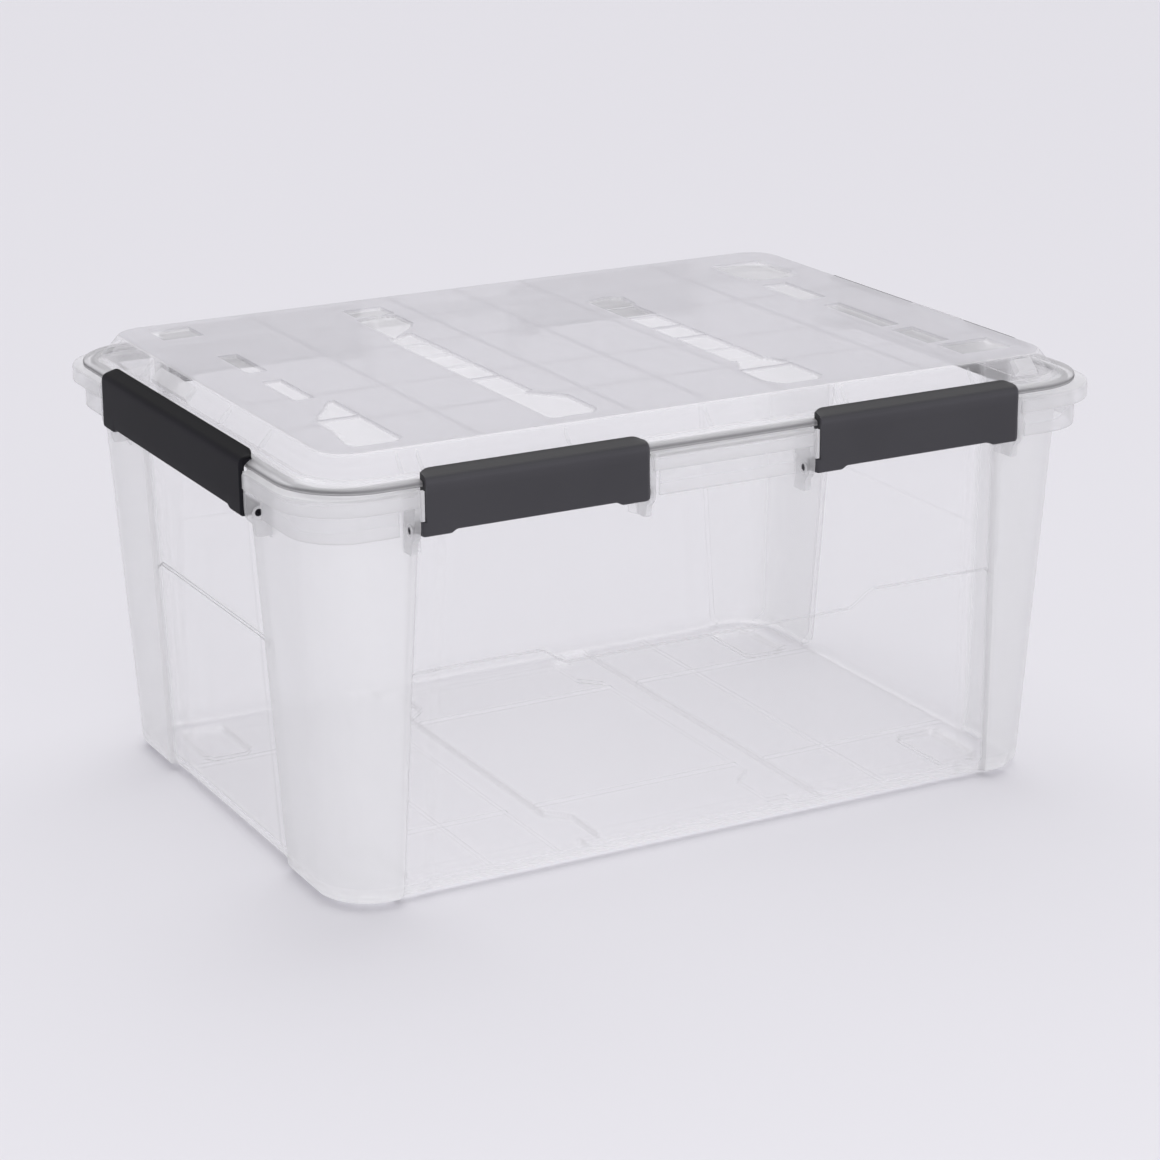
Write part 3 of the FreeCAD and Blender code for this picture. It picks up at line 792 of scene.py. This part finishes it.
def latch_section(t, half):
    """The latch's section at t along it: points of (outward from the pivot, up from the pivot)."""
    from_end = half - abs(t)
    foot = 1 - smooth_step(from_end, 19.0, 24.0)
    end = 1 - smooth_step(from_end, 0.0, 11.0)
    face = PLATE_OUT - 0.9 * (1 - smooth_step(from_end, 0.0, 3.0)) ** 2
    low = -0.6 - 2.2 * foot
    tip_out, tip_up = -1.5 + 2.6 * end**2, TIP_UP - 2.6 * end**2
    # the outer face, the bend over the rim, the tip and the nose
    points = [(face - 0.9, low), (face - 0.2, low + 0.7), (face, low + 2.0)]
    points += [(face, 8), (face, 16), (face, 24), (face, 29.0), (face - 0.15, 31.2)]
    points += [(face - 0.8, 33.0), (face - 2.0, 34.3), (face - 3.6, 35.1)]
    points += [((face - 3.6 + tip_out) / 2, (35.1 + tip_up) / 2 + 0.15)]
    points += [(tip_out + 1.2, tip_up), (tip_out + 0.3, tip_up - 0.3), (tip_out, tip_up - 1.0)]
    points += [(tip_out, 34.2), (tip_out + 0.6, 33.5), (1.3, 33.5), (1.8, 33.9)]
    # the inner face
    points += [(5.6, 31.4), (6.5, 30.2), (PLATE_IN, 28.5), (PLATE_IN, 16), (PLATE_IN, 8), (PLATE_IN, 5.4)]
    if from_end < LEG_LENGTH:
        points += [(LEG_IN + 0.9, 5.0), (LEG_IN, 4.2), (LEG_IN, LEG_LOW + 2.2)]
        points += [(LEG_IN + 0.7, LEG_LOW + 0.7), (LEG_IN + 2.4, LEG_LOW)]
    else:
        points += [(PLATE_IN, 5.0), (PLATE_IN, 4.2), (PLATE_IN, low + 2.2), (PLATE_IN, low + 0.7), (7.0, low)]
    if t < NOTCH_LENGTH - half:
        points = [(u, min(z, NOTCH_TOP + 0.02 * (z > NOTCH_TOP) * (PLATE_OUT - u))) for u, z in points]
    return points


def latch_stations(half):
    """Places along a latch, close together where its shape changes."""
    near = [0.0, 0.4, 1.0, 1.8, 2.6, 2.7, 3.6, 5.2, 7.0, 9.0, 11.0, 15.0, 18.0, 19.5]
    near += [20.6, 20.95, 21.05, 21.8, 22.8, 24.0, 28.0]
    middle = list(np.linspace(28.0, half, 9)[1:])
    left = [-half + v for v in near + middle]
    return left + [-v for v in left[::-1]][1:]


# Painted shade and highlight for each point of the section, from the outer face over the bend to the flap's
# tip: the flap is painted darker, and negative values paint a highlight along the bend.
FLAP_PAINTED_SHADE_AND_HIGHLIGHT = [0.0] * 6 + [-0.15, -0.45, -0.3, 0.3, 0.8, 0.7, 0.9, 1.0, 1.0]


def make_latch(name, material):
    """One latch, made about its pivot and then put in its place."""
    side, middle, half = LATCHES[name]
    build = Build()
    rows = []
    for t in latch_stations(half):
        from_end = half - abs(t)
        shrink = 0.5 * (1 - smooth_step(from_end, 0.0, 1.0))
        section = np.array(latch_section(t, half))
        centre = section.mean(axis=0)
        pulled = section + (centre - section) / np.linalg.norm(centre - section, axis=1)[:, None] * shrink
        painted_shade = FLAP_PAINTED_SHADE_AND_HIGHLIGHT + [0.0] * (len(pulled) - len(FLAP_PAINTED_SHADE_AND_HIGHLIGHT))
        rows.append(build.add([(t, -u, z) for u, z in pulled], 0.0, painted_shade))
    for low, high in zip(rows, rows[1:]):
        build.bridge(low, high)
    build.face(rows[0])
    build.face(rows[-1][::-1])
    outer = half + LATCH_PLAY + FIN + 0.15
    trunnion = ((half - 2, TRUNNION), (outer - 0.4, TRUNNION), (outer, 2.1), (outer, 0.9), (outer - 0.8, 0.6))
    for sign in (-1, 1):
        circles = [build.add([(sign * t, r * c, r * s) for c, s in round_steps(20)]) for t, r in trunnion]
        for low, high in zip(circles, circles[1:]):
            build.bridge(low, high)
        build.face(circles[-1])
    count = LATCH_RIBS[half]
    for k in range(count):
        t = 2 * half * (k + 0.5) / count - half
        if half - abs(t) > LEG_LENGTH + 1:
            build.block([(x, y, z) for z in (3.0, 25.0) for y in (-7.0, -3.7) for x in (t - 0.8, t + 0.8)])
    turn = {"front": 0, "right": 90, "back": 180, "left": 270}[side]
    place = Matrix.Rotation(math.radians(turn), 4, "Z")
    place.translation = Vector(beside(side, own_place(side, middle), PIVOT_INSET, PIVOT_Z)) * MM
    latch = build.make(f"{name}_moulding", material, smooth=35, place=place)
    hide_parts(name)
    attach(latch, f"{name}_body")


# ---------------------------------------------------------------- materials


def new_material(name):
    material = bpy.data.materials.new(name)
    material.use_nodes = True
    material.node_tree.nodes.clear()
    return material, material.node_tree


def node(tree, kind, **values):
    """A new node. Each value goes to the input of that name, or else to the node's own setting."""
    made = tree.nodes.new(kind)
    for key, value in values.items():
        if key in made.inputs:
            made.inputs[key].default_value = value
        else:
            setattr(made, key, value)
    return made


def math_node(tree, operation, a, b=None, c=None, clamp=False):
    made = tree.nodes.new("ShaderNodeMath")
    made.operation, made.use_clamp = operation, clamp
    for socket, value in zip(made.inputs, (a, b, c)):
        if value is None:
            continue
        if isinstance(value, (int, float)):
            socket.default_value = value
        else:
            tree.links.new(value, socket)
    return made.outputs[0]


def clear_plastic(name, bodies, base_frost, frost_scale, mottle, rough, edge_shade, sheen):
    """Thin clear plastic: see-through, milky by frost, glossier at a slant, with painted dark lines of shade
    where the point attribute asks for them.
    """
    material, tree = new_material(name)
    link = tree.links.new
    where = node(tree, "ShaderNodeTexCoord").outputs["Object"]
    clouds = node(tree, "ShaderNodeTexNoise", Scale=7.0, Detail=3.0)
    link(where, clouds.inputs["Vector"])
    frost = node(tree, "ShaderNodeAttribute", attribute_name="frost").outputs["Fac"]
    uneven = math_node(tree, "MULTIPLY_ADD", clouds.outputs["Fac"], mottle, 1 - mottle / 2)
    amount = math_node(tree, "MULTIPLY_ADD", frost, frost_scale, base_frost)
    amount = math_node(tree, "MULTIPLY", amount, uneven)
    facing = node(tree, "ShaderNodeLayerWeight", Blend=0.5).outputs["Facing"]
    grazing = math_node(tree, "MULTIPLY", math_node(tree, "POWER", facing, 3.0), edge_shade)
    # A point attribute of painted shade: its dark lines are made milkier and darker below.
    painted_shade = node(tree, "ShaderNodeAttribute", attribute_name="painted_shade").outputs["Fac"]
    lined = math_node(tree, "MULTIPLY_ADD", painted_shade, 0.6, grazing)
    amount = math_node(tree, "ADD", amount, lined, clamp=True)
    see = node(tree, "ShaderNodeBsdfTransparent", Color=(0.998, 0.998, 0.998, 1))
    gloss = node(tree, "ShaderNodeBsdfGlossy", Roughness=rough)
    fresnel = math_node(tree, "MULTIPLY_ADD", math_node(tree, "POWER", facing, 5.0), sheen, 0.02)
    clear = node(tree, "ShaderNodeMixShader")
    link(fresnel, clear.inputs["Fac"])
    link(see.outputs[0], clear.inputs[1])
    link(gloss.outputs[0], clear.inputs[2])
    tone = node(tree, "ShaderNodeValToRGB")
    for element, position, body in zip(tone.color_ramp.elements, (0.5, 0.9), bodies):
        element.position, element.color = position, (*body, 1)
    link(frost, tone.inputs["Fac"])
    darker = math_node(tree, "MULTIPLY_ADD", painted_shade, -0.6, 1.0, clamp=True)
    lined_tone = node(tree, "ShaderNodeVectorMath", operation="SCALE")
    link(tone.outputs["Color"], lined_tone.inputs[0])
    link(darker, lined_tone.inputs["Scale"])
    front, through = node(tree, "ShaderNodeBsdfDiffuse"), node(tree, "ShaderNodeBsdfTranslucent")
    link(lined_tone.outputs[0], front.inputs["Color"])
    link(lined_tone.outputs[0], through.inputs["Color"])
    milk = node(tree, "ShaderNodeMixShader", Fac=0.4)
    link(front.outputs[0], milk.inputs[1])
    link(through.outputs[0], milk.inputs[2])
    whole = node(tree, "ShaderNodeMixShader")
    link(amount, whole.inputs["Fac"])
    link(clear.outputs[0], whole.inputs[1])
    link(milk.outputs[0], whole.inputs[2])
    out = node(tree, "ShaderNodeOutputMaterial")
    link(whole.outputs[0], out.inputs["Surface"])
    return material


def charcoal_plastic(name, dark, light, specular):
    """Satin charcoal plastic with a fine grain, painted darker where the point attribute is positive and
    painted lighter, as a highlight, where it is negative.
    """
    material, tree = new_material(name)
    link = tree.links.new
    where = node(tree, "ShaderNodeTexCoord").outputs["Object"]
    grain = node(tree, "ShaderNodeTexNoise", Scale=900.0, Detail=2.0)
    clouds = node(tree, "ShaderNodeTexNoise", Scale=14.0, Detail=3.0)
    link(where, grain.inputs["Vector"])
    link(where, clouds.inputs["Vector"])
    tone = node(tree, "ShaderNodeValToRGB")
    tone.color_ramp.elements[0].color = (*dark, 1)
    tone.color_ramp.elements[1].color = (*light, 1)
    link(clouds.outputs["Fac"], tone.inputs["Fac"])
    # Painted shade on the flap and a painted highlight along the bend, from a point attribute.
    flap = node(tree, "ShaderNodeAttribute", attribute_name="painted_shade").outputs["Fac"]
    shade = math_node(tree, "MULTIPLY_ADD", flap, -0.8, 1.0)
    shaded = node(tree, "ShaderNodeVectorMath", operation="SCALE")
    link(tone.outputs["Color"], shaded.inputs[0])
    link(shade, shaded.inputs["Scale"])
    bump = node(tree, "ShaderNodeBump", Strength=0.12, Distance=0.0003)
    link(grain.outputs["Fac"], bump.inputs["Height"])
    shader = node(tree, "ShaderNodeBsdfPrincipled", Roughness=0.45)
    shader.inputs["Specular IOR Level"].default_value = specular
    link(shaded.outputs[0], shader.inputs["Base Color"])
    link(bump.outputs["Normal"], shader.inputs["Normal"])
    out = node(tree, "ShaderNodeOutputMaterial")
    link(shader.outputs[0], out.inputs["Surface"])
    return material


def seal_rubber():
    """Soft grey rubber that lets a little light through."""
    material, tree = new_material("seal_rubber")
    link = tree.links.new
    where = node(tree, "ShaderNodeTexCoord").outputs["Object"]
    clouds = node(tree, "ShaderNodeTexNoise", Scale=30.0, Detail=4.0)
    link(where, clouds.inputs["Vector"])
    tone = node(tree, "ShaderNodeValToRGB")
    tone.color_ramp.elements[0].color = (0.40, 0.40, 0.41, 1)
    tone.color_ramp.elements[1].color = (0.48, 0.48, 0.49, 1)
    link(clouds.outputs["Fac"], tone.inputs["Fac"])
    front = node(tree, "ShaderNodeBsdfPrincipled", Roughness=0.6)
    link(tone.outputs["Color"], front.inputs["Base Color"])
    through = node(tree, "ShaderNodeBsdfTranslucent")
    link(tone.outputs["Color"], through.inputs["Color"])
    shader = node(tree, "ShaderNodeMixShader", Fac=0.45)
    link(front.outputs[0], shader.inputs[1])
    link(through.outputs[0], shader.inputs[2])
    out = node(tree, "ShaderNodeOutputMaterial")
    link(shader.outputs[0], out.inputs["Surface"])
    return material


MILK, CLEAR, GREY = (0.94, 0.94, 0.945), (0.98, 0.975, 0.99), (0.70, 0.693, 0.72)
wall_plastic = clear_plastic("tub_clear", (MILK, MILK), 0.004, 0.5, 0.2, 0.10, 0.08, 0.4)
base_plastic = clear_plastic("tub_floor_clear", (MILK, MILK), 0.002, 0.5, 0.2, 0.14, 0.02, 0.22)
lid_plastic = clear_plastic("lid_milky", (CLEAR, GREY), 0.02, 0.76, 0.22, 0.16, 0.08, 0.7)
make_tub(wall_plastic, base_plastic)
make_lid(lid_plastic)
make_seal(seal_rubber())
front_charcoal = charcoal_plastic("charcoal_satin", (0.048, 0.047, 0.053), (0.064, 0.063, 0.070), 0.26)
# Painted shade: the latches on the ends get a darker, less glossy copy of the same charcoal, since the ends
# get less light.
shaded_end_charcoal = charcoal_plastic("charcoal_satin_painted_shade_ends", (0.010, 0.0098, 0.0125), (0.0155, 0.015, 0.019), 0.05)
for latch_name, (latch_side, _, _) in LATCHES.items():
    make_latch(latch_name, shaded_end_charcoal if latch_side in ("left", "right") else front_charcoal)


# ---------------------------------------------------------------- floor, light, camera


FLOOR_HALF = 30.0
FLOOR_GAP = 0.0005


def pale_floor():
    """A wide pale floor, in metres, a hair below the bin's feet."""
    mesh = bpy.data.meshes.new("studio_floor")
    corners = [(FLOOR_HALF * a, FLOOR_HALF * b, 0) for a, b in ((-1, -1), (1, -1), (1, 1), (-1, 1))]
    mesh.from_pydata(corners, [], [(0, 1, 2, 3)])
    floor = bpy.data.objects.new("studio_floor", mesh)
    bpy.context.scene.collection.objects.link(floor)
    material, tree = new_material("pale_floor")
    shader = node(tree, "ShaderNodeBsdfDiffuse", Color=(0.76, 0.752, 0.785, 1))
    out = node(tree, "ShaderNodeOutputMaterial")
    tree.links.new(shader.outputs[0], out.inputs["Surface"])
    mesh.materials.append(material)
    floor.location.z = -FLOOR_GAP


def area_light(name, place, target, size, power):
    lamp = bpy.data.lights.new(name, "AREA")
    lamp.shape, lamp.size, lamp.energy = "SQUARE", size, power
    obj = bpy.data.objects.new(name, lamp)
    bpy.context.scene.collection.objects.link(obj)
    obj.location = place
    obj.rotation_euler = (Vector(target) - Vector(place)).to_track_quat("-Z", "Y").to_euler()


def photo_camera():
    """The camera, as it stood for the photograph, in metres and degrees."""
    azimuth, elevation, roll = np.radians([-27.89, 18.03, -0.5])
    level = math.cos(elevation)
    forward = Vector((-math.sin(azimuth) * level, math.cos(azimuth) * level, -math.sin(elevation)))
    right = forward.cross(Vector((0, 0, 1))).normalized()
    up = right.cross(forward)
    turned_right = right * math.cos(roll) + up * math.sin(roll)
    turned_up = up * math.cos(roll) - right * math.sin(roll)
    data = bpy.data.cameras.new("photo_camera")
    data.lens, data.sensor_width = 97.42, 36.0
    data.shift_x, data.shift_y = 0.0205, -0.0035
    data.clip_end = 50.0
    camera = bpy.data.objects.new("photo_camera", data)
    bpy.context.scene.collection.objects.link(camera)
    rows = Matrix((turned_right, turned_up, -forward)).transposed().to_4x4()
    rows.translation = Vector((-1.0002, -1.8636, 0.8192))
    camera.matrix_world = rows
    bpy.context.scene.camera = camera


def soft_sun():
    sun = bpy.data.objects.new("sun", bpy.data.lights.new("sun", "SUN"))
    sun.data.energy, sun.data.angle = 1.49, math.radians(60)
    sun.rotation_euler = Vector((-0.28, -0.55, -1.0)).to_track_quat("-Z", "Y").to_euler()
    bpy.context.scene.collection.objects.link(sun)


def pale_sky():
    """Even light from all round, darker towards the left."""
    world = bpy.data.worlds.new("studio")
    world.use_nodes = True
    sky = world.node_tree
    across = node(sky, "ShaderNodeSeparateXYZ")
    sky.links.new(node(sky, "ShaderNodeTexCoord").outputs["Generated"], across.inputs[0])
    side_light = math_node(sky, "MULTIPLY_ADD", across.outputs["X"], 0.5, 0.5)
    shade = node(sky, "ShaderNodeValToRGB")
    dark, light = shade.color_ramp.elements
    dark.color = (0.42, 0.415, 0.43, 1)
    light.position, light.color = 0.55, (0.80, 0.79, 0.82, 1)
    sky.links.new(side_light, shade.inputs["Fac"])
    sky.links.new(shade.outputs["Color"], sky.nodes["Background"].inputs["Color"])
    sky.nodes["Background"].inputs["Strength"].default_value = 0.84
    bpy.context.scene.world = world


pale_floor()
soft_sun()
area_light("key", (-0.7, -3.0, 1.8), (0, 0, 0.2), 1.6, 15)
pale_sky()
bpy.context.scene.view_settings.view_transform = "Standard"
photo_camera()
